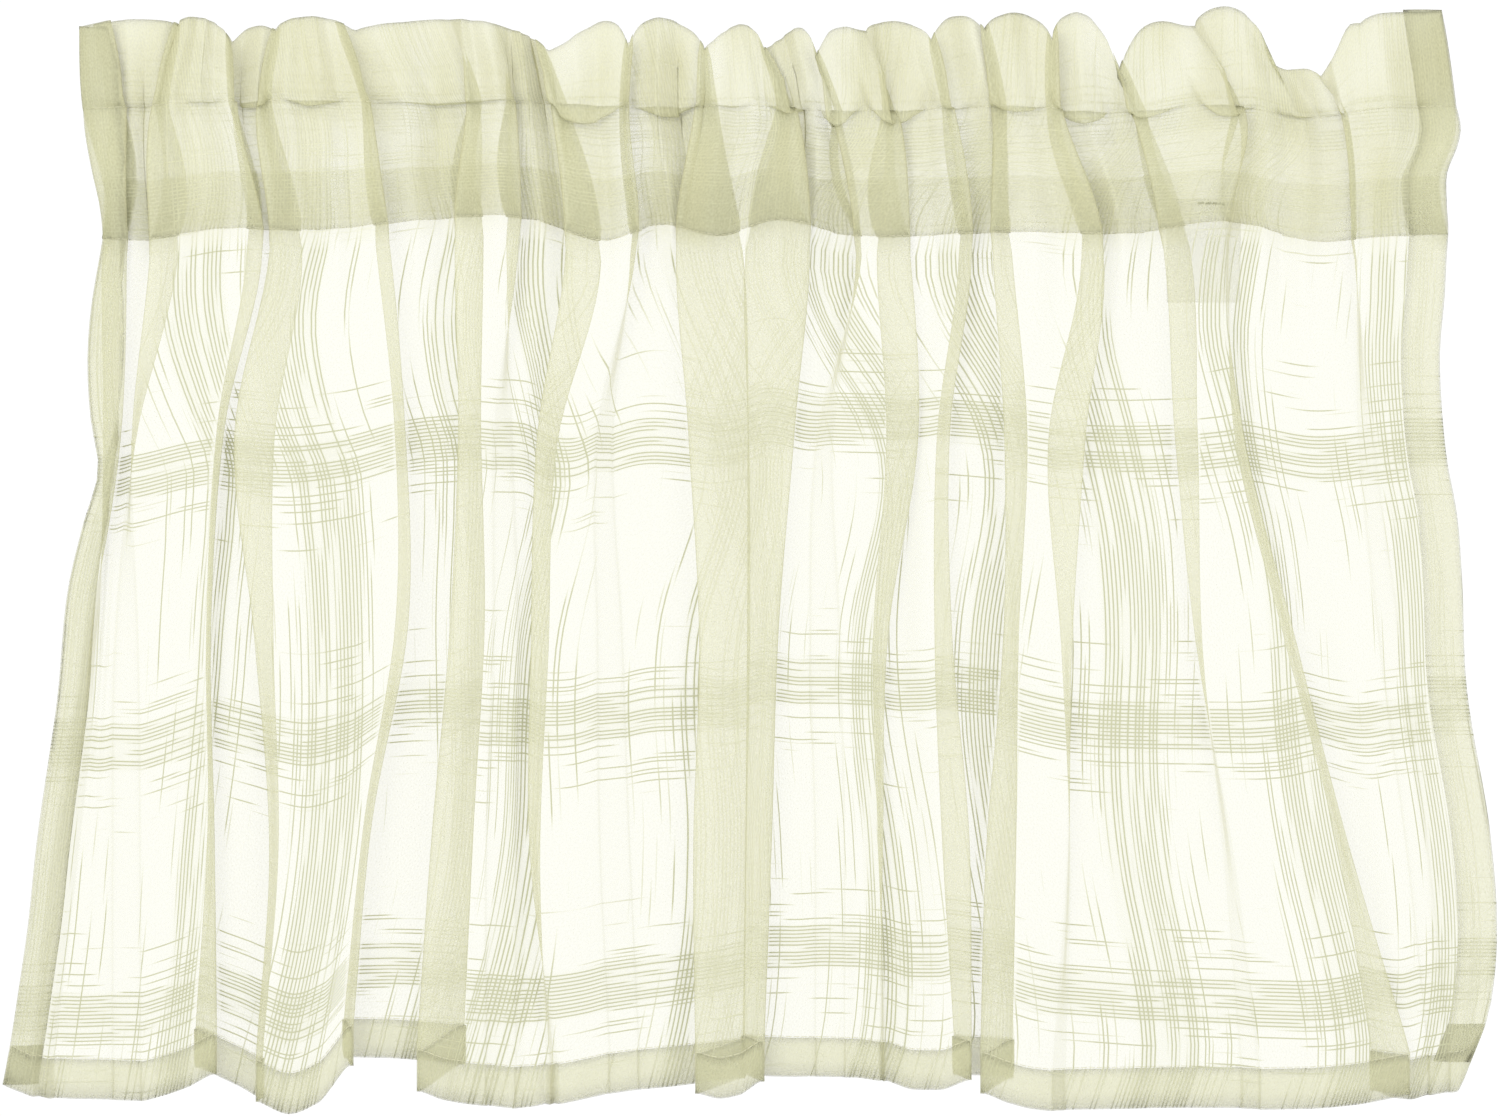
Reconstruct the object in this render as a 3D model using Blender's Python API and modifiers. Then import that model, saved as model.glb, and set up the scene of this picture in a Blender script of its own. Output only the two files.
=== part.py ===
"""Window valance: a gathered strip with a rod pocket and ruffle, its folded skirt, its care label.

X runs to the right, the front faces -Y and Z is up. The origin is the middle of the top edge.
"""

import math

import bmesh
import bpy

MM = 0.001

# ---- driving dimensions, in millimetres --------------------------------------------------------
CLOTH = 1.2  # the cloth of the skirt and of each layer of the heading
HEM = 1.6  # the cloth where it is turned up and sewn
SIDE_HEM = 16.0
BOTTOM_HEM = 16.5
PIECE_GAP = 0.35  # between the heading and what is sewn to it
SEAM_RIM = 1.0  # how far the heading's slanting lower rim reaches below its seam line

STITCH_DEPTH = 37.0  # mean depth of the stitch line under the ruffle
SEAM_DEPTH = 87.0  # mean depth of the seam under the pocket
POCKET_HALF = 9.4  # from the pocket's middle plane to each of its walls
POCKET_SLOPE = 8.0  # height over which each wall leans in to its stitch line
SEAM_HALF = 1.0  # half the distance between the two layers at the seam
RUFFLE_HALF = 1.5  # and in the ruffle, from its stitch line up
GATHER_PITCH = 10.4  # mean distance from crest to crest in the pocket
GATHER_WALL = 1.5  # how far a gather stands out of the pocket's wall
GATHER_STITCH = 0.7  # how far it still waves at the stitch lines
RUFFLE_SQUARENESS = 0.85  # 1 for a sine-shaped crown, less for a squarer one
RUFFLE_LEAN = 3.2  # how far the ruffle's crowns lean forward and its notches lean back

FOLD_ROWS = 9  # rows of faces from the seam to the lower edge
PANE_STEPS = 4  # columns of faces on the open cloth between two folds
TURN_SHARE = 1 / 7  # radius of a fold's rounded edge, as a share of its depth
SEAM_GATHER = 1.0  # how far the gathers still wave at the top of the skirt
GATHER_FADE = 0.22  # share of the skirt's height over which they die out

LABEL_WIDTH = 31.0
LABEL_TOP = 74.0  # depth of its sewn edge below the top line
LABEL_HEIGHT = 42.0
LABEL_X = 187.0
LABEL_CLOTH = 1.0
LABEL_BOW = 2.0

# ---- the outline: depth below the top line, and where the two side edges hang --------------------
# depth, left, right
SIDE_EDGES = [
    (0, -276, 286),
    (37, -274, 292),
    (66, -271, 287),
    (87, -269, 288),
    (112, -271, 287),
    (137, -273, 285),
    (165, -272, 286),
    (185, -269, 288),
    (207, -275, 292),
    (232, -281, 294),
    (281, -286, 296),
    (347, -295, 306),
    (405, -302, 308),
    (447, -309, 300),
]

# ---- the heading's two stitch lines, at stations along the width --------------------------------
# x, depth of the stitch line under the ruffle, depth of the seam under the pocket
STITCH_LINES = [
    (-276, 37, 89),
    (-252, 36, 91),
    (-219, 34, 86),
    (-174, 35, 87),
    (-137, 35, 82),
    (-91, 34, 82),
    (-56, 36, 91),
    (-41, 36, 85),
    (-10, 38, 89),
    (8, 38, 83),
    (42, 38, 89),
    (100, 35, 88),
    (157, 38, 88),
    (205, 36, 84),
    (232, 39, 91),
    (261, 36, 90),
    (292, 37, 89),
]

# ---- the ruffle's crowns: where each ends, its height, and the notch after it -------------------
# right end, depth of the crown, depth of the notch at its right end
RUFFLE_CROWNS = [
    (-236, 0, 2),
    (-215, -1, 9),
    (-196, 2, 5),
    (-164, -1, 4),
    (-111, 0, 3),
    (-84, 2, 13),
    (-50, 0, 13),
    (-19, 0, 12),
    (5, 2, 12),
    (27, 3, 13),
    (75, 1, 9),
    (97, -2, 4),
    (125, -3, 8),
    (153, -4, 16),
    (180, 1, 3),
    (207, -6, 0),
    (236, 9, 17),
    (262, -1, 0),
    (292, -5, -7),
]
RUFFLE_START = (-276, 3)  # the left corner: x, depth

# ---- the skirt's folds ----------------------------------------------------------------------------
# Each fold doubles the cloth back on itself: three layers between its left and right edge. Where its
# width is below zero, it has opened to a soft wave. A depth above zero sets the cloth back after the
# fold, so that the fold's right edge is in front, and one below zero brings it forward again.
FOLD_LEVELS = (SEAM_DEPTH, 172, 257, 342, 427)  # depth below the top line
# name, centre at each level, width at each level, depth at the seam and at the hem,
# lower edge at the fold's first and second turn and in the open cloth after it
FOLDS = [
    ("side_turn", (-263, -264, -273, -282, -292), (11, 8, -3, -6, -6), (9, 8), (445, 446, 447)),
    ("left_soft", (-242, -255, -258, -258, -258), (11, 1, -10, -12, -12), (-9, -5), (447, 447, 442)),
    ("left_valley", (-205, -219, -224, -223, -225), (7, 4, 3, 4, 10), (9, 14), (436, 434, 439)),
    ("left_narrow", (-192, -205, -201, -197, -203), (12, 16, 7, 3, 2), (-9, -12), (446, 447, 449)),
    ("left_long", (-153, -145, -144, -158, -166), (6, 5, 6, 4, 5), (9, 15), (433, 430, 431)),
    ("left_wide", (-116, -115, -117, -123, -128), (11, 9, 14, 17, 19), (-9, -15), (433, 443, 447)),
    ("short_a", (-98, -102, -101, -103, -103), (6, -6, -10, -12, -12), (9, 5), (449, 450, 450)),
    ("middle_left", (-69, -84, -87, -89, -82), (14, 8, 7, 3, -4), (-9, -9), (449, 448, 446)),
    ("short_b", (-48, -60, -58, -56, -52), (3, -6, -10, -12, -12), (9, 5), (444, 443, 441)),
    ("centre_left", (-17, -13, -12, -13, -13), (26, 20, 18, 18, 16), (-10, -15), (438, 443, 445)),
    ("centre_right", (12, 9, 6, 4, 3), (25, 16, 12, 9, 10), (10, 15), (438, 437, 438)),
    ("short_c", (45, 31, 31, 33, 33), (3, -6, -12, -12, -12), (-8, -4), (437, 437, 438)),
    ("right_thin", (59, 63, 54, 54, 55), (13, 13, 6, 2, -2), (9, 7), (439, 439, 442)),
    ("right_behind", (89, 80, 80, 85, 88), (5, 5, 7, 11, 7), (9, 13), (438, 437, 438)),
    ("right_front", (104, 110, 108, 104, 102), (8, 10, 7, 13, 14), (-9, -15), (438, 443, 448)),
    ("right_open", (141, 131, 131, 132, 128), (8, 15, 4, -1, -5), (9, 6), (451, 451, 450)),
    ("right_soft", (178, 183, 187, 198, 207), (11, 10, 3, -3, -7), (-9, -5), (450, 450, 449)),
    ("diagonal", (198, 202, 223, 245, 265), (-3, 3, 4, 4, 15), (8, 12), (444, 443, 446)),
    ("short_d", (250, 255, 265, 276, 285), (2, -5, -8, -8, -8), (-8, -4), (445, 443, 441)),
]
LEFT_CORNER_DEPTH = 440
RIGHT_CORNER_DEPTH = 430

CLOTH_COLOUR = (0.86, 0.86, 0.72, 1)
LABEL_COLOUR = (0.9, 0.9, 0.86, 1)


# ---- reading the tables -----------------------------------------------------------------------------
def smooth_read(stations, values, at):
    """A smooth curve through the values at the stations, read at one place."""
    if at <= stations[0]:
        return values[0]
    if at >= stations[-1]:
        return values[-1]
    last = len(stations) - 1
    i = max(k for k in range(last) if stations[k] <= at)

    def slope(k):
        before, after = max(k - 1, 0), min(k + 1, last)
        return (values[after] - values[before]) / (stations[after] - stations[before])

    span = stations[i + 1] - stations[i]
    t = (at - stations[i]) / span
    start = (2 * t**3 - 3 * t**2 + 1) * values[i] + (t**3 - 2 * t**2 + t) * span * slope(i)
    end = (3 * t**2 - 2 * t**3) * values[i + 1] + (t**3 - t**2) * span * slope(i + 1)
    return start + end


def column_of(table, index):
    return [row[index] for row in table]


def side_edges(depth):
    depths = column_of(SIDE_EDGES, 0)
    left = smooth_read(depths, column_of(SIDE_EDGES, 1), depth)
    right = smooth_read(depths, column_of(SIDE_EDGES, 2), depth)
    return left, right


def stitch_depths(x):
    stations = column_of(STITCH_LINES, 0)
    upper = smooth_read(stations, column_of(STITCH_LINES, 1), x)
    seam = smooth_read(stations, column_of(STITCH_LINES, 2), x)
    return upper, seam


def ruffle_top(x):
    """Depth of the ruffle's top edge, and 1 on a crown falling to -1 in a notch."""
    start, before = RUFFLE_START
    for end, crown, notch in RUFFLE_CROWNS:
        if x <= end:
            break
        start, before = end, notch
    along = min(max((x - start) / (end - start), 0), 1)
    lift = math.sin(math.pi * along) ** RUFFLE_SQUARENESS
    rim = before + (notch - before) * along
    return rim + (crown - rim) * lift, -math.cos(2 * math.pi * along)


# ---- the heading: one strip folded over at the top and stitched twice ---------------------------------
# row name: half distance between the layers, how far the gathers wave there
HEADING_ROWS = [
    (SEAM_HALF, GATHER_STITCH),
    (POCKET_HALF, GATHER_WALL),
    (POCKET_HALF, GATHER_WALL),
    (RUFFLE_HALF, GATHER_STITCH),
    (RUFFLE_HALF, GATHER_STITCH),
    (RUFFLE_HALF, 0),
]
SEAM, LOW_WALL, HIGH_WALL, STITCH, MID_RUFFLE, TOP = range(len(HEADING_ROWS))


def gather_columns():
    """Shares of the width at which the crests and valleys of the gathers lie, unevenly apart."""
    width = SIDE_EDGES[0][2] - SIDE_EDGES[0][1]
    count = 2 * round(width / GATHER_PITCH)
    shares = [0.0]
    for i in range(count):
        shares.append(shares[-1] + 1 + 0.28 * math.sin(1.7 * i) + 0.2 * math.sin(0.61 * i + 1))
    return [share / shares[-1] for share in shares]


def heading_point(shares, column, row):
    """Back seam, up the back, over the ruffle's top and down the front to the seam again."""
    level = min(row, 2 * len(HEADING_ROWS) - 1 - row)
    side = 1 if row < len(HEADING_ROWS) else -1

    def x_at(depth):
        left, right = side_edges(depth)
        return left + shares[column] * (right - left)

    upper = stitch_depths(x_at(STITCH_DEPTH))[0]
    seam = stitch_depths(x_at(SEAM_DEPTH))[1]
    top, crown = ruffle_top(x_at(0))
    depth, x = {
        SEAM: (seam, x_at(SEAM_DEPTH)),
        LOW_WALL: (seam - POCKET_SLOPE, x_at(seam - POCKET_SLOPE)),
        HIGH_WALL: (upper + POCKET_SLOPE, x_at(upper + POCKET_SLOPE)),
        STITCH: (upper, x_at(STITCH_DEPTH)),
        MID_RUFFLE: ((upper + top) / 2, x_at((upper + top) / 2)),
        TOP: (top, x_at(0)),
    }[level]
    half, wave = HEADING_ROWS[level]
    gather = (1 if column % 2 else -1) * (0.75 + 0.25 * math.sin(2.3 * column))
    y = side * half
    if level in (LOW_WALL, HIGH_WALL):
        y += side * wave * gather
    else:
        y += wave * gather
    lean = {MID_RUFFLE: 0.5, TOP: 1}.get(level, 0)
    y -= lean * RUFFLE_LEAN * crown
    return x * MM, y * MM, -depth * MM


# ---- the skirt ------------------------------------------------------------------------------------------
def fold_turns(fold, depth):
    """One fold in plan at a depth: three points round each of its turns, one between them."""
    _, centres, widths, (at_seam, at_hem), _ = fold
    centre = smooth_read(FOLD_LEVELS, centres, depth)
    width = smooth_read(FOLD_LEVELS, widths, depth)
    share = (depth - FOLD_LEVELS[0]) / (FOLD_LEVELS[-1] - FOLD_LEVELS[0])
    set_back = at_seam + (at_hem - at_seam) * min(max(share, 0), 1)
    radius = abs(set_back) * TURN_SHARE
    rounded = min(max(width / (4 * radius), -1), 1)  # 1 on a doubled fold, -1 on an open wave
    step = math.copysign(radius, set_back)
    right, left = centre + width / 2, centre - width / 2
    start, end = -set_back / 2, set_back / 2
    return [
        (right - radius, start),
        (right, start + step),
        (right - radius * rounded, start + 2 * step),
        (centre, 0),
        (left + radius * rounded, end - 2 * step),
        (left, end - step),
        (left + radius, end),
    ]


def skirt_plan(depth):
    """The cloth's path from side to side at one depth, as points (x, y, rigid)."""
    left, right = side_edges(depth)
    groups = [fold_turns(fold, depth) for fold in FOLDS]
    groups.insert(0, [(left, groups[0][0][1])])
    groups.append([(right, groups[-1][-1][1])])
    path = []
    for here, following in zip(groups, groups[1:]):
        path += [(x, y, True) for x, y in here]
        (x0, y0), (x1, y1) = here[-1], following[0]
        for k in range(1, PANE_STEPS):
            t = k / PANE_STEPS
            ease = t * t * (3 - 2 * t)
            path.append((x0 + (x1 - x0) * t, y0 + (y1 - y0) * ease, False))
    path += [(x, y, True) for x, y in groups[-1]]
    return path


def lower_edge():
    """Depth of the lower edge at each column of the skirt, in the order of skirt_plan."""
    groups = [[LEFT_CORNER_DEPTH]]
    middles = [(LEFT_CORNER_DEPTH + FOLDS[0][4][0]) / 2]
    for *_, (first, second, after) in FOLDS:
        groups.append([first] * 3 + [(first + second) / 2] + [second] * 3)
        middles.append(after)
    groups.append([RIGHT_CORNER_DEPTH])
    depths = []
    for i, group in enumerate(groups[:-1]):
        depths += group
        before, following = group[-1], groups[i + 1][0]
        for k in range(1, PANE_STEPS):
            t = k / PANE_STEPS
            straight = before + (following - before) * t
            swell = middles[i] - (before + following) / 2
            depths.append(straight + swell * math.sin(math.pi * t))
    return depths + groups[-1]


def skirt_point(plans, lower, column, row):
    share = row / FOLD_ROWS
    x, y, rigid = plans[row][column]
    fading = max(1 - share / GATHER_FADE, 0)
    if not rigid:
        y += SEAM_GATHER * fading * (1 if column % 2 else -1)
    top_x = plans[0][column][0]
    seam = stitch_depths(top_x)[1] + SEAM_RIM + PIECE_GAP
    depth = seam + (lower[column] - seam) * share
    return x * MM, y * MM, -depth * MM


# ---- making the pieces -----------------------------------------------------------------------------------
def material(name, colour, roughness):
    made = bpy.data.materials.new(name)
    made.use_nodes = True
    shader = made.node_tree.nodes["Principled BSDF"]
    shader.inputs["Base Color"].default_value = colour
    shader.inputs["Roughness"].default_value = roughness
    shader.inputs["Metallic"].default_value = 0
    return made


def sheet(name, columns, rows, place, cloth, finish, sewn=None):
    """A grid shaped by place(column, row), given its thickness by Solidify.

    sewn is (thickness, test): the cloth has that thickness where test(column, row) is true.
    """
    bm = bmesh.new()
    bmesh.ops.create_grid(bm, x_segments=columns, y_segments=rows, size=0.5)
    cells = []
    for vert in bm.verts:
        cell = round((vert.co.x + 0.5) * columns), round((0.5 - vert.co.y) * rows)
        vert.co = place(*cell)
        cells.append(cell)
    mesh = bpy.data.meshes.new(name)
    bm.to_mesh(mesh)
    bm.free()
    made = bpy.data.objects.new(name, mesh)
    made.data.materials.append(finish)
    parts.objects.link(made)
    solid = made.modifiers.new("thickness", "SOLIDIFY")
    solid.thickness = (sewn[0] if sewn else cloth) * MM
    solid.offset = 0
    if sewn:
        group = made.vertex_groups.new(name="sewn")
        group.add([i for i, cell in enumerate(cells) if sewn[1](*cell)], 1, "REPLACE")
        solid.vertex_group = "sewn"
        solid.thickness_vertex_group = cloth / sewn[0]
    return made


def make_heading(finish):
    shares = gather_columns()
    rows = 2 * len(HEADING_ROWS) - 1
    sheet("heading", len(shares) - 1, rows, lambda c, r: heading_point(shares, c, r), CLOTH, finish)


def make_skirt(finish):
    height = LEFT_CORNER_DEPTH - FOLD_LEVELS[0]
    hem_share = 1 - BOTTOM_HEM / height
    shares = [row / FOLD_ROWS for row in range(FOLD_ROWS + 1)]
    plans = [skirt_plan(FOLD_LEVELS[0] + share * height) for share in shares]
    lower = lower_edge()
    columns = len(lower) - 1

    def in_hem(column, row):
        x = plans[row][column][0]
        near_side = min(x - plans[row][0][0], plans[row][-1][0] - x) <= SIDE_HEM
        return shares[row] >= hem_share or near_side

    def place(column, row):
        return skirt_point(plans, lower, column, row)

    sheet("skirt", columns, FOLD_ROWS, place, CLOTH, finish, (HEM, in_hem))


def make_label(finish):
    columns, rows = 4, 6
    back = POCKET_HALF + GATHER_WALL + CLOTH / 2
    plane = back + PIECE_GAP + LABEL_CLOTH / 2

    def place(column, row):
        across, down = column / columns - 0.5, row / rows
        bow = LABEL_BOW * (down**2 + math.cos(math.pi * across) * down)
        x, y = LABEL_X + across * LABEL_WIDTH, plane + bow
        return x * MM, y * MM, -(LABEL_TOP + down * LABEL_HEIGHT) * MM

    sheet("care_label", columns, rows, place, LABEL_CLOTH, finish)


for old in list(bpy.data.objects):
    bpy.data.objects.remove(old)
parts = bpy.data.collections.new("window_valance")
bpy.context.scene.collection.children.link(parts)

ivory_cloth = material("ivory_cloth", CLOTH_COLOUR, 0.85)
label_tape = material("label_tape", LABEL_COLOUR, 0.6)
make_heading(ivory_cloth)
make_skirt(ivory_cloth)
make_label(label_tape)
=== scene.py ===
# %% [markdown]
# # A sheer window valance
# The real thing is one panel of sheer cloth. Its top is folded to the back and stitched twice, which
# leaves a ruffle above and a pocket for the rod below it. The sides and the lower edge are hemmed, and
# a small woven label is sewn to the back of the pocket. The part was built as plain solids first, so
# this script loads them as a frame and hangs the real cloth where they are.

# %% Load the frame
import math

import bmesh
import bpy
import numpy as np
from mathutils import Matrix, Vector, noise


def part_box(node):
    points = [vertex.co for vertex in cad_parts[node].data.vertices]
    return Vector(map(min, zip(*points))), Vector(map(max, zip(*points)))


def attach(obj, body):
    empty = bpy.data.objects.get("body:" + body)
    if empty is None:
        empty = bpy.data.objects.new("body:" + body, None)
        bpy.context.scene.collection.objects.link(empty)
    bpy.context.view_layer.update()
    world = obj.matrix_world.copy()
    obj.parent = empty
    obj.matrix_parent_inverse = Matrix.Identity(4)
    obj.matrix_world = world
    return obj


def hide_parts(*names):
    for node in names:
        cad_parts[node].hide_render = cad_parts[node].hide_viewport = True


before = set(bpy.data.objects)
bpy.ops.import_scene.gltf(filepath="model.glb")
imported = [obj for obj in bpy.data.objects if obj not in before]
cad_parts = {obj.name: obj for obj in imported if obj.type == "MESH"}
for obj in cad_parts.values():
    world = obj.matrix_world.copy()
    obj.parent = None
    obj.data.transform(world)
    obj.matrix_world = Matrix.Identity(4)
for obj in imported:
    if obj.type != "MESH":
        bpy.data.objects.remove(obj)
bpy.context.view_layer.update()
heading_low, heading_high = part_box("heading")
skirt_low, skirt_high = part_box("skirt")
print("nodes:", sorted(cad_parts))
print("heading:", heading_low, heading_high)
print("skirt:", skirt_low, skirt_high)

# %% [markdown]
# ## Sizes
# Lengths are in millimetres here, because cloth is cut and sewn in them, and MM turns them into
# metres. Places are measured from the middle of the top edge: x to the right, depth downwards.

# %% Sizes of the cloth
MM = 0.001
HEM = 16.5  # turned up along the sides and the lower edge
RAW_TURN = 16.0  # the raw edge, turned in once more inside each hem
TURN_IN = 26.0  # the raw end, turned in at the bottom of the pocket's back wall
PLY = 0.7  # from one layer of sewn cloth to the next
POCKET_BULGE = 8.0  # how far each wall of the pocket stands from its middle plane
STITCH_DEPTH = 37.0  # mean depth of the stitch line under the ruffle
SEAM_DEPTH = 87.0  # mean depth of the seam under the pocket
LOWER_DEPTH = 445.0  # mean depth of the lower edge

# %% [markdown]
# ## The outline
# Cloth hangs unevenly, so the outline is a few measured stations with a smooth curve through
# them: cubic Hermite pieces whose slopes come from the neighbouring stations.


# %% Smooth curves through a few stations
def hermite(t, span, values, slopes, i):
    """The cubic from value i to the next one, with the slopes given there, at t from 0 to 1."""
    start = (2 * t**3 - 3 * t**2 + 1) * values[i] + (t**3 - 2 * t**2 + t) * span * slopes[i]
    end = (3 * t**2 - 2 * t**3) * values[i + 1] + (t**3 - t**2) * span * slopes[i + 1]
    return start + end


def smooth_read(stations, values, at):
    """A smooth curve through the values at the stations, read at one place or at an array of them."""
    stations, values = np.asarray(stations, float), np.asarray(values, float)
    slopes = np.gradient(values, stations)
    at = np.clip(np.asarray(at, float), stations[0], stations[-1])
    i = np.clip(np.searchsorted(stations, at) - 1, 0, len(stations) - 2)
    span = stations[i + 1] - stations[i]
    return hermite((at - stations[i]) / span, span, values, slopes, i)


def distances_along(line):
    """How far along a line of points each of them lies."""
    return np.concatenate([[0], np.cumsum(np.linalg.norm(np.diff(line, axis=0), axis=1))])


def noise_at(*coordinates):
    """Perlin noise at places given as three numbers or arrays; another last number, another noise."""
    places = zip(*np.broadcast_arrays(*coordinates))
    return np.array([noise.noise(Vector(place)) for place in places])


def columns_of(table):
    """A table's columns, each as a list."""
    return [list(column) for column in zip(*table)]


# %% The side edges and the two stitch lines
# depth, left edge, right edge
SIDE_EDGES = [
    (0, -277, 286),
    (26, -276.5, 290),
    (37, -275.5, 291.5),
    (47, -274, 292.5),
    (54, -272.5, 290.5),
    (63, -270.5, 286.5),
    (75, -268, 286.5),
    (87, -267.5, 288),
    (100, -269.5, 287.5),
    (112, -271.5, 287),
    (137, -273.5, 285),
    (165, -272, 286),
    (185, -269, 288),
    (207, -275, 292),
    (232, -281, 294),
    (281, -286, 296),
    (347, -295, 306),
    (377, -298, 308.5),
    (405, -302, 308),
    (425, -305, 305),
    (447, -309, 297),
]
# x, depth of the stitch line under the ruffle, depth of the seam under the pocket
STITCH_LINES = [
    (-276, 37, 90),
    (-252, 36, 91),
    (-219, 34, 86.5),
    (-174, 34, 87),
    (-137, 34, 82.5),
    (-91, 34, 82.3),
    (-56, 36, 91),
    (-41, 36, 85),
    (-10, 36, 89),
    (8, 36, 83),
    (42, 38, 89),
    (100, 36, 88),
    (157, 38, 88),
    (205, 36, 84),
    (232, 40, 91),
    (261, 37, 90),
    (292, 36, 89),
]


def side_edges(depth):
    """x of the left and the right edge at a depth."""
    depths, left, right = columns_of(SIDE_EDGES)
    return smooth_read(depths, left, depth), smooth_read(depths, right, depth)


def stitch_depths(x):
    """Depths of the stitch line and of the seam at a place."""
    stations, upper, seam = columns_of(STITCH_LINES)
    return smooth_read(stations, upper, x), smooth_read(stations, seam, x)


# %% The ruffle's crowns
CROWN_POWER = 0.6  # below 1 a crown is squarer than an arch
SAG_POWER = 0.8  # and so is its sag
RUFFLE_START = (-276, 3)  # the left corner: x, depth
# right end, depth of the crown, depth of the notch at its right end, the crown's place from 0 to 1,
# how far its front layer sags over the stitch line
RUFFLE_CROWNS = [
    (-236, -0.5, 2, 0.6, 4),
    (-215, -1, 9, 0.3, 6),
    (-196, 2, 4.5, 0.6, 9),
    (-164, -1.2, 4.5, 0.45, 9),
    (-84, -0.6, 13, 0.45, 7),
    (-50, 0.5, 13, 0.72, 15),
    (-19, -1.2, 12, 0.4, 12),
    (5, 2, 12, 0.65, 6),
    (27, 3, 16, 0.7, 8),
    (48, 3.5, 5, 0.55, 12),
    (75, 0.5, 9, 0.4, 13),
    (97, -2, 4, 0.5, 6),
    (125, -2.8, 9, 0.45, 10),
    (152, -3.8, 24, 0.38, 14),
    (184, 1.2, 2.5, 0.55, 8),
    (212, -6, 7, 0.45, 12),
    (236, 20, 23.5, 0.5, 6),
    (252, 1.5, 1.5, 0.85, 3),
    (292, -3, -7, 0.5, 4),
]


def crown_at(x):
    """The crown over a place: its row, the notch before it, and how far along it the place is."""
    start, before = RUFFLE_START
    for row in RUFFLE_CROWNS:
        if x <= row[0] or row is RUFFLE_CROWNS[-1]:
            return row, before, min(max((x - start) / (row[0] - start), 0), 1)
        start, before = row[0], row[2]


def ruffle_top(x):
    """Depth of the ruffle's top edge."""
    (_, crown, notch, place, _), before, along = crown_at(x)
    skewed = along ** (math.log(0.5) / math.log(place))
    lift = math.sin(math.pi * skewed) ** CROWN_POWER
    rim = before + (notch - before) * along
    return rim + (crown - rim) * lift


def ruffle_sag(x):
    """How far the ruffle's front layer sags over the stitch line."""
    (*_, sag), _, along = crown_at(x)
    return sag * math.sin(math.pi * along) ** SAG_POWER


# %% [markdown]
# ## The folds
# In plan, from above, a fold is a flattened Z: the cloth runs to one turn, doubles back to the other
# and runs on, so three layers lie between the two turns. Lower down many folds open to a soft wave.
# One row describes one fold. The skirt's columns are read at five depths and the heading's at two
# more, so that every fold starts in the ruffle, runs down through the pocket and out to the hem.

# %% The folds, from left to right
FOLD_DEPTHS = (0, STITCH_DEPTH, SEAM_DEPTH, 172, 257, 342, 427)
# name; its centre at each depth; its width there, below zero where it is open; how far it sets the
# cloth back at the top, the seam and the lower edge, below zero where it brings the cloth forward
FOLDS = [
    ("side_turn", (-268, -262, -263, -264, -272, -282, -292),
     (7.8, 7.7, 11, 8, -3, -6, -6), (5, 8, 8)),
    ("left_soft", (-237, -244, -242, -255, -258, -258, -258),
     (2.4, 4.9, 11, 1, -10, -12, -12), (-5, -8, -5)),
    ("left_valley", (-216, -214, -205, -219, -224, -223, -225),
     (2.4, 2.8, 7, 4, 3, 4, 10), (5, 8, 13)),
    ("left_narrow", (-196, -201, -192, -205, -201, -197, -203),
     (3, 4.2, 12, 16, 7, 3, 2), (-5, -8, -11)),
    ("left_long", (-170, -159, -153, -145, -144, -158, -166),
     (4.2, 2.8, 6, 5, 6, 4, 5), (5, 8, 14)),
    ("left_wide", (-122, -114, -116, -116, -117, -123, -128),
     (-4, 4.9, 11, 9, 14, 17, 19), (-5, -8, -14)),
    ("short_a", (-103, -99, -98, -102, -101, -103, -103),
     (-4, 2.8, 6, -6, -10, -12, -12), (4, 8, 4)),
    ("middle_left", (-87, -79, -69, -84, -87, -89, -82),
     (3.6, 5.6, 14, 8, 7, 4, -4), (-5, -8, -8)),
    ("short_b", (-50, -52, -48, -60, -58, -56, -52),
     (3, 2.8, 3, -6, -10, -12, -12), (5, 8, 4)),
    ("centre_left", (-19, -18, -17, -13, -10.5, -12.4, -12.4),
     (3, 8.4, 26, 25, 21, 22, 20.5), (-5, -9, -14)),
    ("centre_right", (5, 15, 12, 8.8, 5.3, 3.6, 1.5),
     (3, 7, 25, 19.5, 13, 11, 9), (5, 9, 14)),
    ("short_c", (27, 36, 45, 31, 31, 33, 33),
     (2.4, 3.5, 3, -6, -12, -12, -12), (-5, -8, -4)),
    ("right_thin", (49, 58, 59, 63, 54, 54, 55),
     (-4, 4.9, 13, 13, 6, 2, -2), (4, 8, 6)),
    ("right_behind", (75, 82, 89, 80, 80, 85, 88),
     (2.4, 3.5, 5, 5, 7, 11, 7), (4, 8, 12)),
    ("right_front", (97, 103, 104, 110, 108, 104, 102),
     (3.6, 5.6, 8, 10, 7, 13, 14), (-5, -8, -14)),
    ("right_open", (125, 126, 141, 131, 131, 132, 128),
     (3.6, 4.9, 8, 15, 4, -1, -5), (5, 8, 6)),
    ("right_soft", (152, 161, 175, 180.5, 186, 198, 207),
     (4.2, 5.6, 11, 10, 3, -3, -7), (-5, -8, -5)),
    ("diagonal", (184, 202, 198, 202, 223, 245, 265),
     (-3, 2.8, -3, 3, 4, 4, 15), (4, 7, 11)),
    ("short_d", (237, 246, 250, 255, 265, 276, 285),
     (-5, 2.1, 2, -5, -8, -8, -8), (-5, -7, -4)),
]
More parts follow.
